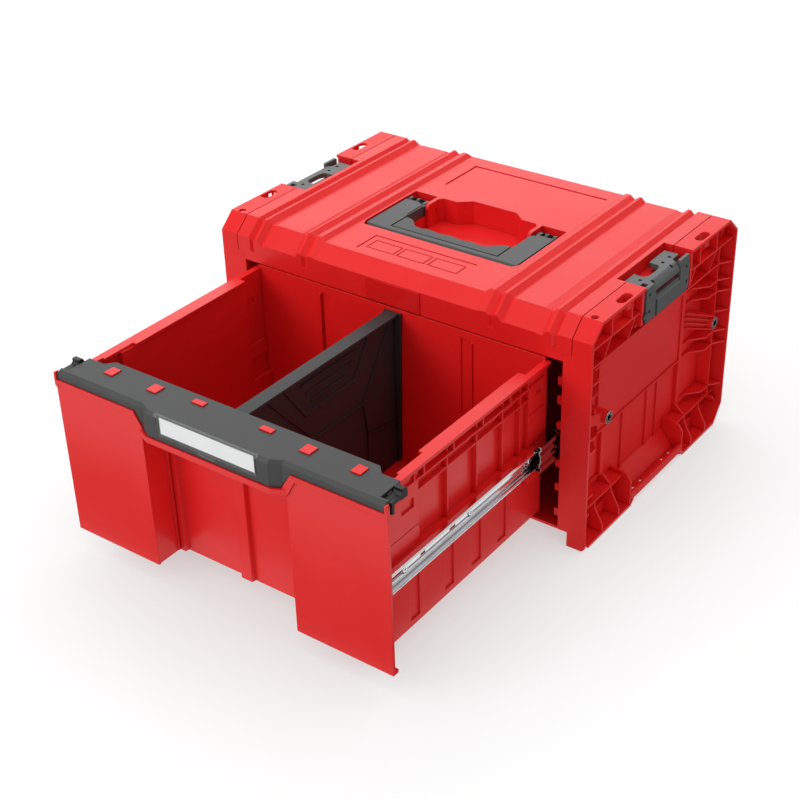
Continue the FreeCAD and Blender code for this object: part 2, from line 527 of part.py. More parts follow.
def make_rail():
    top = full_plan(rail_plan(-267.0, -273.2, x_end=189.4), RAIL_BACK)
    low = full_plan(rail_plan(WING_Y, -276.4, x_end=190.7), RAIL_BACK)
    body = pz(low, 195.0, 201.5)
    # bevel under the top edge
    def w(pts, z):
        v = [V(x, y, z) for x, y in pts]
        return Part.makePolygon(v + [v[0]])
    bev = Part.makeLoft([w(low, 201.5), w(top, RAIL_Z)], True, True)
    # skirt that drops in the middle between two slopes
    mid = py([(-91.3, 196.5), (91.3, 196.5), (91.3, 195.0), (80.2, 178.2), (-80.2, 178.2), (-91.3, 195.0)],
             -280.0, -268.6).common(
        pz([(-95, -268.6), (-95, WING_Y), (-82.5, WING_Y), (-71.0, -276.4), (71.0, -276.4), (82.5, WING_Y),
            (95, WING_Y), (95, -268.6)], 170.0, 200.0))
    s = fuse([body, bev, mid])
    cuts = [
        # hollow underside
        pz(full_plan([(0, -268.7), (68.5, -268.7), (80.0, -267.6), (179.0, -267.6)],
                     [(179.0, -231.5), (0, -231.5)]), 190.0, 201.4),
        box(-68.0, 68.0, -273.3, -260.0, 180.5, 196.5),
        # bed of the label holder
        box(-60.6, 60.6, -278.0, -273.6, 202.6, 206.0),
        box(-58.4, 58.4, -278.0, -273.6, 183.2, 206.0),
    ]
    for sx in (-1, 1):
        for x, wx, y, wy in WINDOWS:
            cuts.append(box(sx * x - wx / 2 - 0.4, sx * x + wx / 2 + 0.4, y - wy / 2 - 0.4, y + wy / 2 + 0.4,
                            190.0, 210.0))
        a, b = sorted((sx * 176.5, sx * 200))
        cuts.append(box(a, b, -264.6, -241.0, 194.0, 201.4))
    s = cut(s, cuts)
    return s


WINDOWS = ((144.5, 10.5, -243.5, 12.0), (89.7, 11.5, -243.5, 12.0), (39.8, 14.0, -239.0, 6.4))
FRONT_RIBS = (-163.0, -117.0, -75.0, -45.0)           # long thin ribs of the side walls
HALF_RIBS = (-200.0, -156.0, -110.0, -65.0, -36.0)    # short ribs under the rim
LOW_CH = ((-215.0, -201.0), (-161.5, -147.5), (-118.0, -103.0), (-74.5, -60.0))   # shallow channels under the slide


def sbox(sx, x0, x1, y0, y1, z0, z1):
    """Box on one side of the middle plane."""
    a, b = sorted((sx * x0, sx * x1))
    return box(a, b, y0, y1, z0, z1)


def make_drawer():
    f = []
    # tray with chamfered bottom edges and a back wall that stands above the rim
    sec = [(-167.5, D_BOT), (167.5, D_BOT), (D_WALL, 29.5), (D_WALL, D_TOP), (-D_WALL, D_TOP), (-D_WALL, 29.5)]
    f.append(py(sec, -270.0, D_BACK))
    f.append(box(-176.0, 176.0, D_BACK_IN - 0.4, D_BACK, 190.0, BACK_TOP))
    # drawer front: two wings either side of the finger recess
    f.append(box(-WING_X, WING_X, WING_Y, -268.0, WING_Z0, 195.0))
    f.append(pz(full_plan([(0, -278.0), (73.0, -278.0), (86.5, LIP_Y)], [(86.5, -266.0), (0, -266.0)]), 171.8, 177.8))
    for sx in (-1, 1):
        # lip along the top of the front, which follows the drop of the rail
        f.append(py([(sx * x, z) for x, z in LIP], LIP_Y, -268.0))
        # ear at each end of the rail
        f.append(py([(sx * x, z) for x, z in ((189.6, 188.6), (192.4, 187.4), (193.6, 189.0), (193.6, 201.4), (192.8, 203.2),
                                              (191.2, 203.2), (191.2, 195.0), (189.6, 195.0))], LIP_Y, -268.0))
        # the side walls step out near the back and, above the slide, near the front
        f.append(py([(sx * 170.5, 72.0), (sx * D_ZONE, 79.5), (sx * D_ZONE, D_TOP), (sx * 170.5, D_TOP)], -31.0, D_BACK))
        f.append(py([(sx * 170.5, SL_Z + 6.0), (sx * D_ZONE, SL_Z + 6.0), (sx * D_ZONE, D_TOP), (sx * 170.5, D_TOP)],
                    -269.0, -206.0))
        # rim
        f.append(sbox(sx, 166.5, 181.0, -236.5, D_BACK, 199.8, D_TOP))
    s = fuse(f)
    c = [
        # inside of the drawer
        py([(-164.5, D_FLOOR), (164.5, D_FLOOR), (D_IN, 31.4), (D_IN, 200.2), (-D_IN, 200.2), (-D_IN, 31.4)],
           REC_Y + 2.6, D_BACK_IN),
        box(-166.5, 166.5, REC_Y + 2.6, D_BACK_IN, 199.0, 215.0),
        box(-171.0, 171.0, REC_Y + 2.6, -190.5, 200.2, 215.0),
        box(-174.0, 174.0, -33.0, D_BACK_IN, 200.2, 215.0),
        # finger recess, with a pilaster in the middle and one in each corner
        pz([(-WING_IN, -290.0), (WING_IN, -290.0), (WING_IN, REC_Y - 4.4), (78.5, REC_Y - 4.4), (77.5, REC_Y),
            (7.5, REC_Y), (6.5, REC_Y - 4.4), (-6.5, REC_Y - 4.4), (-7.5, REC_Y), (-77.5, REC_Y), (-78.5, REC_Y - 4.4),
            (-WING_IN, REC_Y - 4.4)], 0.0, REC_Z),
        # the rail sits on the front of the drawer
        box(-190.9, 190.9, -290.0, -238.5, 195.0, 215.0),
        box(-200.0, 200.0, -268.0, -238.5, 195.0, 215.0),
        py([(-91.8, 196.0), (91.8, 196.0), (91.8, 195.0), (80.8, 177.8), (-80.8, 177.8), (-91.8, 195.0)], -290.0, -267.4),
        box(-80.8, 80.8, -268.0, -265.9, 177.8, 196.0),
        box(-174.0, 174.0, -240.0, -228.0, 195.0, 215.0),
        box(-182.0, 182.0, -240.0, -236.7, 195.0, 215.0),
    ]
    for sx in (-1, 1):
        # inside of the two blocks of the front
        c.append(py([(sx * (WING_IN + 2.6), D_FLOOR), (sx * 164.5, D_FLOOR), (sx * D_IN, 31.4), (sx * D_IN, 215.0),
                     (sx * (WING_IN + 2.6), 215.0)], -268.0, REC_Y + 3.0))
        # the steps of the side walls, seen from inside
        c.append(sbox(sx, 168.0, 174.0, REC_Y + 2.6, -208.0, SL_Z + 9.5, 200.2))
        c.append(sbox(sx, 168.0, 174.0, -30.0, D_BACK_IN, 80.0, 200.2))
        # room for the ends of the catch bar
        c.append(sbox(sx, 174.0, 200.0, -267.4, -240.5, 194.5, 215.0))
        # channels under the slide
        for y0, y1 in LOW_CH:
            c.append(sbox(sx, D_WALL - 1.6, 185.0, y0, y1, 36.0, SL_Z - 7.4))
        # pockets in the steps
        c.append(sbox(sx, 175.0, 185.0, -231.0, -213.0, 162.5, 172.5))
        c.append(sbox(sx, 175.0, 185.0, -20.0, -8.0, 174.5, 184.0))
        c.append(sbox(sx, 172.0, 175.4, -24.0, -14.0, 168.0, 176.0))
        c.append(sbox(sx, D_ZONE - 0.6, 185.0, -268.0, -206.0, 141.0, 142.0))
        c.append(sbox(sx, D_ZONE - 0.6, 185.0, -30.0, -1.0, 157.0, 158.0))
        # long shallow channels of the back wall
        c.append(sbox(sx, 80.5, 91.5, D_BACK_IN - 0.5, D_BACK_IN + 1.4, D_FLOOR + 2.0, 198.0))
    s = cut(s, c)
    a = []
    # ceiling of the finger recess, so the middle of the front is closed under the rail
    a.append(box(-WING_IN - 3.0, WING_IN + 3.0, -267.0, REC_Y + 2.6, REC_Z, REC_Z + 2.6))
    for sx in (-1, 1):
        # back of the channels of the back wall
        a.append(sbox(sx, 78.0, 94.0, D_BACK - 0.4, D_BACK + 1.4, D_FLOOR, 200.0))
        a.append(sbox(sx, 92.6, 94.4, D_BACK_IN - 1.6, D_BACK_IN + 0.4, D_FLOOR - 0.5, 196.0))
        # outside ribs of the side walls
        for y in FRONT_RIBS:
            a.append(sbox(sx, D_WALL - 0.5, D_ZONE, y - 0.8, y + 0.8, SL_Z + 8.0, 200.2))
        for y in HALF_RIBS:
            a.append(sbox(sx, D_WALL - 0.5, D_ZONE + 2.4, y - 0.8, y + 0.8, 189.4, 200.2))
        a.append(sbox(sx, D_WALL - 0.5, D_ZONE + 2.4, -206.6, -30.6, 188.6, 190.2))
        a.append(sbox(sx, D_ZONE - 1.0, D_ZONE + 2.4, -236.0, -206.0, 188.6, 190.2))
        a.append(sbox(sx, D_ZONE - 1.0, D_ZONE + 2.4, -31.0, -6.0, 188.6, 190.2))
        a.append(sbox(sx, D_ZONE - 1.0, D_ZONE + 2.4, -214.8, -213.2, 189.4, 200.2))
        a.append(sbox(sx, D_WALL - 0.5, D_ZONE, -206.6, -30.6, 174.6, 176.2))
        # small hook behind the lowest corner of the front
        a.append(sbox(sx, 189.6, WING_X, -269.0, -263.4, WING_Z0, 26.6))
        # pad of the slide
        a.append(sbox(sx, D_WALL - 0.5, 181.0, -266.0, D_BACK - 2.0, SL_Z - 8.4, SL_Z + 8.4))
        # the wall runs on a little under the rail
        a.append(sbox(sx, 174.2, 176.8, -240.2, -236.0, 193.0, 201.2))
        # snap tabs that hold the front rail
        for x, wx, y, wy in WINDOWS:
            a.append(box(sx * x - wx / 2, sx * x + wx / 2, y - wy / 2, y + wy / 2, 196.0, TAB_Z))
            # post that carries the tab, off the wall behind the recess
            lo = REC_Z if x < WING_IN else D_BOT
            a.append(box(sx * x - wx / 2, sx * x + wx / 2, y - 1.2, y + 1.2, lo + 1.0, 197.0))
        # struts that tie the posts to the wing
        a.append(box(sx * 144.5 - 1.2, sx * 144.5 + 1.2, -269.0, REC_Y + 2.0, D_BOT + 1, 194.0))
        # lug on the strut, which carries the pin of the catch bar
        a.append(box(sx * 144.5 - 1.2, sx * 144.5 + 1.2, CATCH_Y - 2.4, CATCH_Y + 2.4, 193.0, 200.8))
        # slots for the divider
        p0, p1 = sorted((sx * 1.5, sx * 3.6))
        a.append(box(p0, p1, REC_Y + 2.0, REC_Y + 5.6, D_FLOOR - 0.5, 194.0))
    s = fuse([s] + a)
    c2 = []
    for sx in (-1, 1):
        for y in (-236.0, -136.0, -36.0):
            c2.append(cyl(1.6, (sx * 173.0, y, SL_Z), (sx, 0, 0), 9.0))
        # pivots of the catch bar
        c2.append(cyl(CATCH_R, (sx * 143.3, CATCH_Y, CATCH_Z), (sx, 0, 0), 2.4))
    s = cut(s, c2)
    return s


def make_catch():
    """Catch bar under the rail with a hook at each end."""
    add = [box(-186.0, 186.0, CATCH_Y - 2.6, CATCH_Y + 5.4, 196.6, 200.2)]
    for sx in (-1, 1):
        a, b = sorted((sx * 182.6, sx * 188.2))
        add.append(box(a, b, -262.5, -242.0, 197.2, 201.6))
        a, b = sorted((sx * 183.6, sx * 192.6))
        add.append(px([(-251.0, 197.2), (-251.0, 201.4), (-248.6, 203.6), (-248.6, 206.6), (-243.8, 206.6),
                       (-242.0, 203.6), (-242.0, 197.2)], a, b))
        a, b = sorted((sx * 186.5, sx * 192.6))
        add.append(px([(-263.6, 190.0), (-263.6, 201.4), (-250.0, 201.4), (-250.0, 198.4), (-260.2, 198.4), (-260.2, 190.0)],
                      a, b))
    s = fuse(add)
    c = [box(-140.0, 140.0, -265.0, -250.0, 190.0, 197.6)]
    for sx in (-1, 1):
        # the bar steps round the lug that carries its pin
        a, b = sorted((sx * 142.4, sx * 146.6))
        c.append(box(a, b, CATCH_Y - 3.0, CATCH_Y + 3.4, 190.0, 210.0))
        c.append(cyl(CATCH_R + RUN, (sx * 135.0, CATCH_Y, CATCH_Z), (sx, 0, 0), 20.0))
    s = cut(s, c)
    pins = [cyl(CATCH_R, (139.5, CATCH_Y, CATCH_Z), (1, 0, 0), 10.0)]
    return s, Part.makeCompound(both(pins))


def make_label():
    holder = fuse([
        box(-60.2, 60.2, -277.2, -273.7, 203.0, 205.4),
        box(-57.8, 57.8, -276.8, -275.9, 184.0, 204.0),
        box(-57.8, 57.8, -276.8, -273.7, 183.6, 185.6),
        box(-57.8, -55.4, -276.8, -273.7, 184.0, 204.0),
        box(55.4, 57.8, -276.8, -273.7, 184.0, 204.0),
        box(-9.0, 11.0, -277.6, -276.4, 181.6, 186.0),
    ])
    card = box(-55.0, 55.0, -275.5, -275.1, 186.0, 202.6)
    return holder, card


def make_divider():
    y0, y1 = REC_Y + 3.0, D_BACK_IN - 0.5
    z0, z1 = D_FLOOR + 0.4, 203.4
    web = px([(y0, z0 + 4), (y0, z1), (y1, z1), (y1, z0 + 5), (y1 - 5, z0), (y0 + 4, z0)], -1.1, 1.1)
    top = pz([(-7.5, -227.6), (7.5, -227.6), (7.5, y1), (-7.5, y1)], 200.8, z1)
    notch = box(-5.0, 5.0, -240.0, -227.7, 194.6, 210.0)
    back = py([(-6.0, z0 + 6), (-3.0, z0), (3.0, z0), (6.0, z0 + 6), (10.5, z1), (-10.5, z1)], y1 - 2.2, y1)
    s = fuse([web.cut(notch), top, back])
    # raised lines on both faces of the web
    def bar(p, q, w=2.0, h=1.4, side=1):
        (ya, za), (yb, zb) = p, q
        L = math.hypot(yb - ya, zb - za)
        n = (-(zb - za) / L * w / 2, (yb - ya) / L * w / 2)
        pts = [(ya + n[0], za + n[1]), (yb + n[0], zb + n[1]), (yb - n[0], zb - n[1]), (ya - n[0], za - n[1])]
        a, b = sorted((side * 1.0, side * (1.1 + h)))
        return px(pts, a, b)
    lines = [((-148, 190), (-64, 190)), ((-142, 179.5), (-70, 179.5)), ((-136, 169), (-78, 169)),
             ((-198, 200), (-134, 125)), ((-134, 125), (-57, 125)), ((-57, 125), (-8, 200)),
             ((-57, 125), (-51, 86)), ((-51, 86), (-5, 78)), ((-51, 86), (-53, 34)),
             ((-134, 125), (-160, 88)), ((-160, 88), (-228, 80)), ((-160, 88), (-158, 34))]
    items = []
    for sd in (-1, 1):
        items += [bar(p, q, side=sd) for p, q in lines]
    # raised frame inside the upper outline
    for sd in (-1, 1):
        a, b = sorted((sd * 1.0, sd * 2.4))
        fr = px([(-176, 200.9), (-145, 155.5), (-68, 155.5), (-38, 200.9)], a, b)
        fr = fr.cut(px([(-169.5, 199.5), (-142.6, 159.5), (-70.4, 159.5), (-44.5, 199.5)], a - 1, b + 1))
        items.append(fr)
    return fuse([s] + items)


# ---------------------------------------------------------------- slides
def channel(x_web, x_open, hz, y0, y1, t=SL_T):
    """C section: web at x_web, flanges towards x_open."""
    d = 1 if x_open > x_web else -1
    a, b = sorted((x_web, x_web + d * t))
    f0, f1 = sorted((x_web, x_open))
    return fuse([box(a, b, y0, y1, SL_Z - hz, SL_Z + hz),
                 box(f0, f1, y0, y1, SL_Z + hz - t, SL_Z + hz),
                 box(f0, f1, y0, y1, SL_Z - hz, SL_Z - hz + t)])


def make_slides():
    """Right slide: fixed, middle and drawer members, two ball cages."""
    half = TRAVEL * MID_RATIO
    o = channel(193.8, 183.2, SL_OUT, SL_Y0, SL_Y0 + SL_LEN)
    # middle member: its web is pressed inwards between the two ball tracks
    m0 = SL_Y0 - half
    sec = [(183.0, 14.3), (191.6, 14.3), (191.6, 10.0), (189.9, 8.6), (189.9, 5.6), (191.2, 4.6), (191.2, -4.6),
           (189.9, -5.6), (189.9, -8.6), (191.6, -10.0), (191.6, -14.3), (183.0, -14.3), (183.0, -13.3), (190.6, -13.3),
           (190.6, -10.4), (188.9, -9.0), (188.9, -5.2), (190.2, -4.2), (190.2, 4.2), (188.9, 5.2), (188.9, 9.0),
           (190.6, 10.4), (190.6, 13.3), (183.0, 13.3)]
    m = py([(x, SL_Z + z) for x, z in sec], m0, m0 + SL_LEN)
    # drawer member: two beads along its web
    i0 = SL_Y0 - TRAVEL
    sec = [(186.5, 10.5), (187.9, 9.5), (187.9, 8.7), (187.1, 8.7), (186.1, 9.4), (182.0, 9.4), (182.0, 7.4), (183.6, 6.4), (183.6, 4.0), (182.0, 3.0),
           (182.0, -3.0), (183.6, -4.0), (183.6, -6.4), (182.0, -7.4), (182.0, -9.4), (186.1, -9.4),
           (187.1, -8.7), (187.9, -8.7), (187.9, -9.5), (186.5, -10.5), (181.8, -10.5), (181.0, -9.7), (181.0, 9.7),
           (181.8, 10.5)]
    i = py([(x, SL_Z + z) for x, z in sec], i0, i0 + SL_LEN)
    # openings in the webs
    co, cm, ci = [], [], []
    for k in range(5):
        y = SL_Y0 + 22 + k * 58
        co.append(box(190, 195, y, y + 18, SL_Z + 4.5, SL_Z + 9.5))
    for y, w in ((m0 + 18, 10.0), (m0 + 60, 18.0), (m0 + 150, 18.0), (m0 + 236, 18.0)):
        cm.append(box(188, 193, y, y + w, SL_Z - 1.6, SL_Z + 1.6))
    for y, w in ((i0 + 10, 14.0), (i0 + 52, 7.0), (i0 + 96, 9.0)):
        ci.append(box(180, 185, y, y + w, SL_Z - 1.5, SL_Z + 1.5))
    for y in (48.0, 148.0, 248.0):
        co.append(cyl(1.8, (190.0, y, SL_Z), (1, 0, 0), 6.0))
    for y in (-236.0, -136.0, -36.0):
        ci.append(cyl(1.6, (179.0, y, SL_Z), (1, 0, 0), 6.0))
        ci.append(cyl(3.4, (182.0, y, SL_Z), (1, 0, 0), 4.0))
    o, m, i = cut(o, co), cut(m, cm), cut(i, ci)
    res = {"slide_fixed": o, "slide_middle": m, "slide_inner": i}
    # ball cages, each made of two strips with a short return
    for name, zc, xw, x0, yc, ret in (("outer", (SL_OUT - SL_T + SL_MID) / 2, 192.0, 184.2, 129.0, 5.0),
                                      ("inner", (SL_MID - SL_T + SL_IN) / 2, 189.8, 183.8, 22.0, 1.3)):
        y0, y1 = yc - 50, yc + 50
        t = 0.4
        parts = []
        for sz in (-1, 1):
            z = SL_Z + sz * zc
            parts.append(box(x0, xw + t, y0, y1, z - t / 2, z + t / 2))
            lo, hi = sorted((z, z - sz * ret))
            parts.append(box(xw, xw + t, y0, y1, lo, hi))
        cg = fuse(parts)
        holes, balls = [], []
        for k in range(8):
            y = y0 + 8 + k * 12
            for sz in (-1, 1):
                z = SL_Z + sz * zc
                holes.append(cyl(BALL_R + 0.05, (187.0, y, z - 1), (0, 0, 1), 2))
                balls.append(Part.makeSphere(BALL_R, V(187.0, y, z)))
        cg = cut(cg, holes)
        res["ball_cage_" + name] = cg
        res["balls_" + name] = Part.makeCompound(balls)
    return res


def screw(p, d, r, length, hr, hh):
    """Pan head screw, head against p, shank along d."""
    dv = V(*d)
    head = Part.makeCylinder(hr, hh, V(*p) - dv * hh, dv)
    try:
        es = [e for e in head.Edges if e.Curve.TypeId == 'Part::GeomCircle'
              and (e.Curve.Center - (V(*p) - dv * hh)).Length < 1e-6]
        head = head.makeFillet(hh * 0.45, es)
    except Exception:
        pass
    shank = Part.makeCylinder(r, length, V(*p), dv)
    s = fuse([head, shank])
    c = V(*p) - dv * hh
    # cross recess
    if abs(d[2]) > 0.5:
        k = [box(c.x - hr * 0.55, c.x + hr * 0.55, c.y - 0.35, c.y + 0.35, c.z - 0.8, c.z + 0.8),
             box(c.x - 0.35, c.x + 0.35, c.y - hr * 0.55, c.y + hr * 0.55, c.z - 0.8, c.z + 0.8)]
    else:
        k = [box(c.x - 0.8, c.x + 0.8, c.y - 0.35, c.y + 0.35, c.z - hr * 0.55, c.z + hr * 0.55),
             box(c.x - 0.8, c.x + 0.8, c.y - hr * 0.55, c.y + hr * 0.55, c.z - 0.35, c.z + 0.35)]
    return cut(s, k)


# ---------------------------------------------------------------- build everything
def main():
    put("case_shell", make_shell())
    cap = make_cap()
    put("end_cap_right", cap)
    put("end_cap_left", mir(cap))
    put("header_plate", box(-34.0, 32.0, -0.9, 0.0, 208.6, 231.4))
    put("cap_screws", Part.makeCompound(both([screw((200.0, y, 11.0), (0, 0, 1), 2.0, 12.0, 4.0, 2.4)
                                              for y in (40.0, 150.0, 260.0)])))
    eye = []
    for y in EYE_Y:
        e = cyl(6.4, (EYE_X, y, EYE_Z), (1, 0, 0), 1.2).fuse(cyl(4.4, (EYE_IN, y, EYE_Z), (1, 0, 0), EYE_X - EYE_IN + 0.1))
        e = e.cut(cyl(EYE_R, (EYE_IN - 1.0, y, EYE_Z), (1, 0, 0), 40.0)).removeSplitter()
        eye.append(e)
    put("eyelets", Part.makeCompound(both(eye)))
    h, g, p = make_handle()
    put("carry_handle", h)
    put("handle_grip", g)
    put("handle_pins", p)
    la, lp = make_latch()
    put("side_latch_right", la)
    put("side_latch_left", mir(la))
    put("latch_pins", Part.makeCompound(lp.Solids + mir(lp).Solids))
    put("drawer_body", make_drawer())
    put("front_rail", make_rail())
    c, cp = make_catch()
    put("catch_bar", c)
    put("catch_pins", cp)
    ho, ca = make_label()
    put("label_holder", ho)
    put("label_card", ca)
    put("divider", make_divider())
    sl = make_slides()
    for k, s in sl.items():
        put(k + "_right", s)
        put(k + "_left", mir(s))
    put("slide_screws_case", Part.makeCompound(both([screw((192.8, y, SL_Z), (1, 0, 0), 1.8, 4.2, 3.2, 0.7)
                                                     for y in (48.0, 148.0, 248.0)])))
    put("slide_screws_drawer", Part.makeCompound(both([screw((182.0, y, SL_Z), (-1, 0, 0), 1.6, 7.0, 3.2, 1.4)
                                                       for y in (-236.0, -136.0, -36.0)])))
    os.makedirs("parts", exist_ok=True)
    for name, s in sorted(NODES.items()):
        s = s.copy()
        s.translate(V(0, -ORIGIN_Y, 0))
        so = s.Solids
        ok = all(x.isValid() for x in so)
        b = s.BoundBox
        print("%-24s solids %2d valid %s vol %9.1f  x %.1f..%.1f y %.1f..%.1f z %.1f..%.1f" % (
            name, len(so), ok, sum(x.Volume for x in so), b.XMin, b.XMax, b.YMin, b.YMax, b.ZMin, b.ZMax))
        shp = so[0] if len(so) == 1 else Part.makeCompound(so)
        shp.exportStep("parts/%s.step" % name)


main()
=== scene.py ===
import bpy
import bmesh
import math
from mathutils import Matrix, Vector

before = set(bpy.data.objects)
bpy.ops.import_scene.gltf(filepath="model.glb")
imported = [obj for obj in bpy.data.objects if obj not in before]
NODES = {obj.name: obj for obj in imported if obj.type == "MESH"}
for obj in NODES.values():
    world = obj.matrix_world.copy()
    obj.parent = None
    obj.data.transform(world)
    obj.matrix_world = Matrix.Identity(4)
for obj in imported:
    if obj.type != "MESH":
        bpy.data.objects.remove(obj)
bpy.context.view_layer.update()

scene = bpy.context.scene

# ------------------------------------------------------------------ camera
# row frame, metres; rows of the rotation: right, down, forward
CAM_POS = Vector((0.8073, -1.0583 - 0.011, 0.9156))
CAM_R = ((0.814223, 0.580281, -0.017709),
         (0.286747, -0.428498, -0.856834),
         (-0.504793, 0.692577, -0.515288))
CAM_F, CAM_CX, CAM_CY = 1522.0, 425.0, 386.0      # in pixels of an 800 x 800 frame
cam_data = bpy.data.cameras.new("camera")
cam = bpy.data.objects.new("camera", cam_data)
scene.collection.objects.link(cam)
right, down, fwd = (Vector(r).normalized() for r in CAM_R)
rot = Matrix((right, -down, -fwd)).transposed()
cam.matrix_world = Matrix.Translation(CAM_POS) @ rot.to_4x4()
cam_data.sensor_width = 36.0
cam_data.sensor_fit = "AUTO"
cam_data.lens = CAM_F / 800.0 * 36.0
cam_data.shift_x = (400.0 - CAM_CX) / 800.0
cam_data.shift_y = (CAM_CY - 400.0) / 800.0
cam_data.clip_start, cam_data.clip_end = 0.02, 60.0
scene.camera = cam


# ------------------------------------------------------------------ materials
class Mat:
    """Small helper round a node tree."""

    def __init__(self, name):
        self.m = bpy.data.materials.new(name)
        self.m.use_nodes = True
        self.t = self.m.node_tree
        self.b = self.t.nodes["Principled BSDF"]
        self.x = -300

    def node(self, kind, **kw):
        n = self.t.nodes.new(kind)
        self.x -= 180
        n.location = (self.x, 0)
        for k, v in kw.items():
            setattr(n, k, v)
        return n

    def link(self, a, b):
        self.t.links.new(a, b)

    def set(self, **kw):
        names = {"color": "Base Color", "rough": "Roughness", "metal": "Metallic", "ior": "IOR",
                 "coat": "Coat Weight", "coat_rough": "Coat Roughness", "spec": "Specular IOR Level",
                 "trans": "Transmission Weight", "sheen": "Sheen Weight", "sheen_rough": "Sheen Roughness",
                 "sss": "Subsurface Weight", "aniso": "Anisotropic", "alpha": "Alpha"}
        for k, v in kw.items():
            s = self.b.inputs[names[k]]
            s.default_value = (*v, 1.0) if k == "color" else v
        return self

    def coords(self, scale=(1, 1, 1)):
        tc = self.node("ShaderNodeTexCoord")
        mp = self.node("ShaderNodeMapping")
        mp.inputs["Scale"].default_value = scale
        self.link(tc.outputs["Object"], mp.inputs["Vector"])
        return mp.outputs["Vector"]

    def noise(self, vec, scale, detail=3.0, rough=0.5, dist=0.0):
        n = self.node("ShaderNodeTexNoise")
        n.inputs["Scale"].default_value = scale
        n.inputs["Detail"].default_value = detail
        n.inputs["Roughness"].default_value = rough
        n.inputs["Distortion"].default_value = dist
        self.link(vec, n.inputs["Vector"])
        return n.outputs["Fac"]

    def ramp(self, fac, p0, c0, p1, c1):
        r = self.node("ShaderNodeValToRGB")
        r.color_ramp.elements[0].position = p0
        r.color_ramp.elements[0].color = c0
        r.color_ramp.elements[1].position = p1
        r.color_ramp.elements[1].color = c1
        self.link(fac, r.inputs["Fac"])
        return r.outputs["Color"]

    def maprange(self, fac, a, b, c, d):
        r = self.node("ShaderNodeMapRange")
        for i, v in enumerate((a, b, c, d)):
            r.inputs[1 + i].default_value = v
        self.link(fac, r.inputs[0])
        return r.outputs[0]

    def painted_crease_shade(self, color, floor, reach):
        """Painted shade: base colour darkened down to floor in narrow corners, found by an ambient-occlusion lookup.
        """
        ao = self.node("ShaderNodeAmbientOcclusion")
        ao.samples = 6
        ao.inputs["Distance"].default_value = reach
        f = self.maprange(ao.outputs["AO"], 0.35, 0.95, floor, 1.0)
        mx = self.node("ShaderNodeMix", data_type="RGBA", blend_type="MULTIPLY")
        mx.inputs[0].default_value = 1.0
        self.link(color, mx.inputs[6])
        self.link(f, mx.inputs[7])
        self.link(mx.outputs[2], self.b.inputs["Base Color"])

    def bump(self, heights, radius=0.0):
        """heights: list of (socket, strength, distance); a bevel normal sits under them."""
        normal = None
        if radius:
            bv = self.node("ShaderNodeBevel")
            bv.samples = 4
            bv.inputs["Radius"].default_value = radius
            normal = bv.outputs["Normal"]
        for h, strength, dist in heights:
            n = self.node("ShaderNodeBump")
            n.inputs["Strength"].default_value = strength
            n.inputs["Distance"].default_value = dist
            self.link(h, n.inputs["Height"])
            if normal is not None:
                self.link(normal, n.inputs["Normal"])
            normal = n.outputs["Normal"]
        self.link(normal, self.b.inputs["Normal"])
        return self


def plastic(name, color, dark, rough=(0.32, 0.42), grain=2600.0, grain_d=0.00004, bevel=0.0006, coat=0.0, spec=0.30,
            wave=0.00012, painted_crease_shade=0.78, reach=0.003):
    m = Mat(name)
    v = m.coords()
    n1 = m.noise(v, 14.0, 4.0, 0.55)
    n2 = m.noise(v, grain, 2.0, 0.6)
    n3 = m.noise(v, 38.0, 2.0, 0.5)
    base = m.ramp(n1, 0.3, (*dark, 1), 0.72, (*color, 1))
    # painted shade: base colour darkened in corners and creases
    m.painted_crease_shade(base, painted_crease_shade, reach)
    m.link(m.maprange(n1, 0.25, 0.75, rough[0], rough[1]), m.b.inputs["Roughness"])
    m.set(spec=spec, coat=coat)
    m.bump([(n3, 0.25, wave), (n2, 0.35, grain_d)], bevel)
    return m.m


RED = (0.80, 0.014, 0.014)
RED_D = (0.77, 0.011, 0.011)
M = {
    "shell": plastic("shell_red", RED, RED_D, rough=(0.34, 0.42), painted_crease_shade=0.9),
    "cap": plastic("cap_red", RED, RED_D, rough=(0.36, 0.44), spec=0.22),
    "drawer": plastic("drawer_red", RED, RED_D, rough=(0.28, 0.36), grain_d=0.00002, spec=0.38),
    "plate": plastic("plate_red", (0.68, 0.010, 0.010), (0.65, 0.009, 0.009), rough=(0.30, 0.36), grain_d=0.00001),
    "dark": plastic("dark_grey", (0.062, 0.064, 0.064), (0.052, 0.054, 0.054), rough=(0.36, 0.46), grain=1900.0,
                    grain_d=0.00006, painted_crease_shade=0.5),
    "latch": plastic("latch_grey", (0.105, 0.108, 0.108), (0.090, 0.093, 0.093), rough=(0.36, 0.46), grain=1900.0,
                     grain_d=0.00006, painted_crease_shade=0.5),
    "rail": plastic("rail_grey", (0.055, 0.056, 0.057), (0.047, 0.048, 0.049), rough=(0.38, 0.48), grain=1900.0,
                    grain_d=0.00006, painted_crease_shade=0.5),
    "black": plastic("near_black", (0.018, 0.018, 0.020), (0.014, 0.014, 0.015), rough=(0.34, 0.44), painted_crease_shade=0.4),
    "divider": plastic("divider_black", (0.036, 0.038, 0.039), (0.029, 0.030, 0.031), rough=(0.40, 0.50), painted_crease_shade=0.3),
    "grip": plastic("grip_pad", (0.068, 0.071, 0.070), (0.060, 0.062, 0.062), rough=(0.42, 0.52), grain=3200.0,
                    grain_d=0.00008, painted_crease_shade=0.3, reach=0.002),
    "card": plastic("card", (0.97, 0.98, 0.98), (0.95, 0.96, 0.96), rough=(0.55, 0.6), grain=1200.0, bevel=0.0,
                    painted_crease_shade=0.9),
}


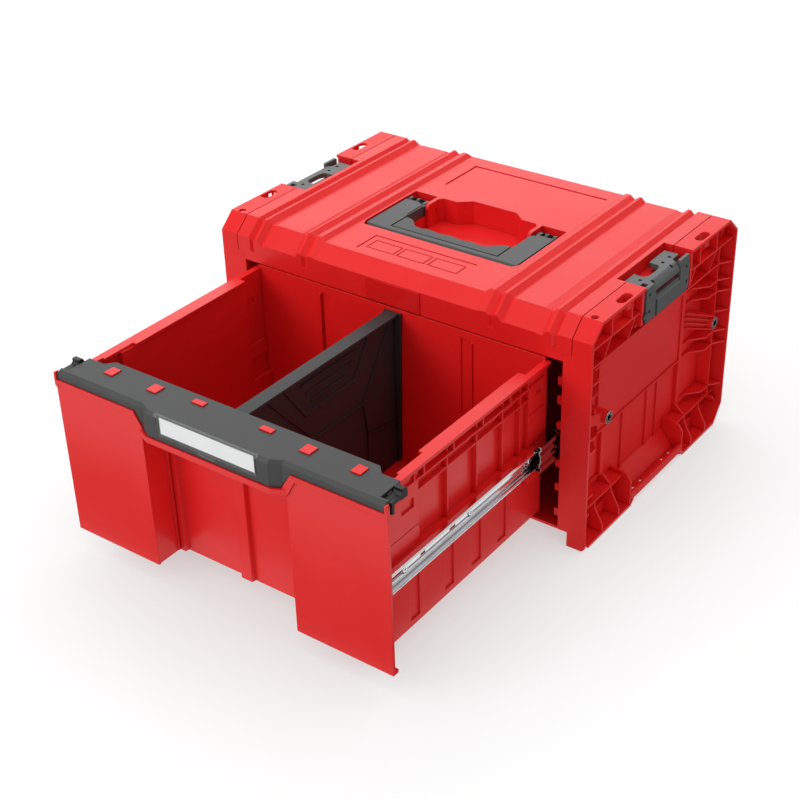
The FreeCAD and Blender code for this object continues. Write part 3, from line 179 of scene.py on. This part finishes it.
def metal(name, color, rough=(0.2, 0.32), streak=(1.0, 60.0, 60.0), bevel=0.0003, dist=0.00002, painted_crease_shade=0.15,
          reach=0.005, metallic=1.0):
    m = Mat(name)
    v = m.coords(streak)
    n1 = m.noise(v, 18.0, 4.0, 0.6)
    v2 = m.coords()
    n2 = m.noise(v2, 30.0, 3.0, 0.5)
    m.set(metal=metallic)
    m.link(m.maprange(n1, 0.2, 0.8, rough[0], rough[1]), m.b.inputs["Roughness"])
    # painted shade: base colour darkened in corners and creases
    m.painted_crease_shade(m.ramp(n2, 0.3, (*[c * 0.9 for c in color], 1), 0.7, (*color, 1)), painted_crease_shade, reach)
    m.bump([(n1, 0.3, dist)], bevel)
    return m.m


M["zinc"] = metal("zinc", (0.93, 0.93, 0.95), rough=(0.07, 0.13), streak=(60.0, 1.5, 60.0), dist=0.00001,
                  painted_crease_shade=0.25, reach=0.002)
# painted shade: a darker copy of the zinc, used for the middle slide members
M["zinc_shaded"] = metal("zinc_shaded", (0.50, 0.47, 0.48), rough=(0.06, 0.12), streak=(60.0, 1.5, 60.0), dist=0.00001,
                      painted_crease_shade=0.1, reach=0.006)
M["steel"] = metal("steel_dark", (0.10, 0.10, 0.11), rough=(0.3, 0.4), streak=(20.0, 20.0, 20.0))
M["chrome"] = metal("chrome", (0.86, 0.87, 0.89), rough=(0.05, 0.12), streak=(20.0, 20.0, 20.0), painted_crease_shade=0.03, reach=0.007)


def clear(name):
    m = Mat(name)
    m.set(color=(0.99, 0.99, 0.99), ior=1.49, alpha=0.09)
    v = m.coords()
    n = m.noise(v, 90.0, 2.0, 0.5)
    m.link(m.maprange(n, 0.3, 0.7, 0.06, 0.14), m.b.inputs["Roughness"])
    return m.m


M["clear"] = clear("clear")

ASSIGN = {
    "case_shell": "shell", "end_cap_left": "cap", "end_cap_right": "cap", "header_plate": "plate",
    "cap_screws": "zinc", "eyelets": "chrome", "carry_handle": "dark", "handle_grip": "grip", "handle_pins": "steel",
    "side_latch_left": "latch", "side_latch_right": "latch", "latch_pins": "steel",
    "drawer_body": "drawer", "front_rail": "rail", "catch_bar": "black", "catch_pins": "zinc",
    "label_holder": "clear", "label_card": "card", "divider": "divider",
}
for n, o in NODES.items():
    k = ASSIGN.get(n)
    if k is None:
        k = "chrome" if n.startswith("balls") else ("zinc_shaded" if n.startswith("slide_middle") else "zinc")
    o.data.materials.clear()
    o.data.materials.append(M[k])

# ------------------------------------------------------------------ stage
bpy.ops.mesh.primitive_plane_add(size=30.0, location=(0, 0, -0.0002))
floor = bpy.context.object
floor.name = "floor"
fm = Mat("floor")
v = fm.coords()
fm.link(fm.ramp(fm.noise(v, 3.0, 2.0), 0.3, (0.20, 0.20, 0.20, 1), 0.7, (0.21, 0.21, 0.21, 1)), fm.b.inputs["Base Color"])
fm.set(rough=0.8, spec=0.0)
# most of the pale floor glows by itself, so the red of the case hardly tints it; the glow is weaker near the case, a
# painted contact shadow read from an ambient-occlusion lookup
fm.b.inputs["Emission Color"].default_value = (1.0, 1.0, 1.0, 1.0)
ao = fm.node("ShaderNodeAmbientOcclusion")
ao.samples = 8
ao.inputs["Distance"].default_value = 0.22
fm.link(fm.maprange(ao.outputs["AO"], 0.0, 1.0, 0.50, 0.80), fm.b.inputs["Emission Strength"])
floor.data.materials.append(fm.m)
floor.visible_diffuse = False


def card(name, x0, x1, y0, y1, grey, glow=0.0, z=0.0004):
    """Card just above the floor that only shows in reflections."""
    me = bpy.data.meshes.new(name)
    me.from_pydata([(x0, y0, z), (x1, y0, z), (x1, y1, z), (x0, y1, z)], [], [(0, 1, 2, 3)])
    o = bpy.data.objects.new(name, me)
    scene.collection.objects.link(o)
    m = Mat(name)
    v = m.coords()
    m.link(m.ramp(m.noise(v, 2.0, 1.0), 0.3, (grey, grey, grey, 1), 0.7, (grey * 1.1, grey * 1.1, grey * 1.1, 1)),
           m.b.inputs["Base Color"])
    m.set(rough=0.9, spec=0.0)
    m.b.inputs["Emission Color"].default_value = (1.0, 1.0, 1.0, 1.0)
    m.b.inputs["Emission Strength"].default_value = glow
    me.materials.append(m.m)
    o.visible_camera = False
    o.visible_diffuse = False
    o.visible_transmission = False
    o.visible_shadow = False
    return o


card("reflect_right_a", 0.196, 0.262, -0.30, 0.0, 0.10)
card("reflect_right_b", 0.229, 0.262, 0.0, 0.16, 0.10)
card("reflect_right_c", 0.36, 1.6, -0.30, 0.16, 0.10)
card("reflect_right_back", 0.229, 1.6, 0.16, 1.8, 0.10)
# small bright spots for the polished eyelets
card("reflect_eyelet_front", 0.338, 0.372, 0.188, 0.236, 0.5, 0.9, 0.0008)
card("reflect_eyelet_back", 0.338, 0.372, 0.413, 0.461, 0.5, 0.9, 0.0008)
card("reflect_front", -1.4, 0.9, -0.42, -0.302, 0.12)

world = bpy.data.worlds.new("world")
scene.world = world
world.use_nodes = True
bg = world.node_tree.nodes["Background"]
bg.inputs["Color"].default_value = (1.0, 1.0, 1.0, 1.0)
# a little brighter below the horizon, in place of light from the floor
wt = world.node_tree
tc = wt.nodes.new("ShaderNodeTexCoord")
sep = wt.nodes.new("ShaderNodeSeparateXYZ")
mr = wt.nodes.new("ShaderNodeMapRange")
for i, q in enumerate((-0.15, 0.15, 0.75, 0.61)):
    mr.inputs[1 + i].default_value = q
wt.links.new(tc.outputs["Generated"], sep.inputs[0])
wt.links.new(sep.outputs["Z"], mr.inputs[0])
wt.links.new(mr.outputs[0], bg.inputs["Strength"])


def area(name, loc, target, size, power, color=(1, 1, 1)):
    d = bpy.data.lights.new(name, "AREA")
    d.shape = "RECTANGLE"
    d.size, d.size_y = size
    d.energy = power
    d.color = color
    o = bpy.data.objects.new(name, d)
    scene.collection.objects.link(o)
    o.location = loc
    o.rotation_euler = (Vector(target) - Vector(loc)).to_track_quat("-Z", "Y").to_euler()
    return o


area("top_light", (-0.2, 0.3, 2.4), (0, 0.0, 0.1), (2.0, 2.0), 21.5)
area("front_light", (-1.3, -2.2, 1.5), (0, -0.1, 0.1), (1.6, 1.4), 29.0)
# bright card behind the case, mirrored in its top faces
area("back_card", (-1.0, 1.45, 0.95), (0.0, 0.1, 0.25), (2.6, 0.8), 10.0)

scene.view_settings.view_transform = "Standard"
scene.view_settings.look = "None"
scene.view_settings.exposure = 0.0
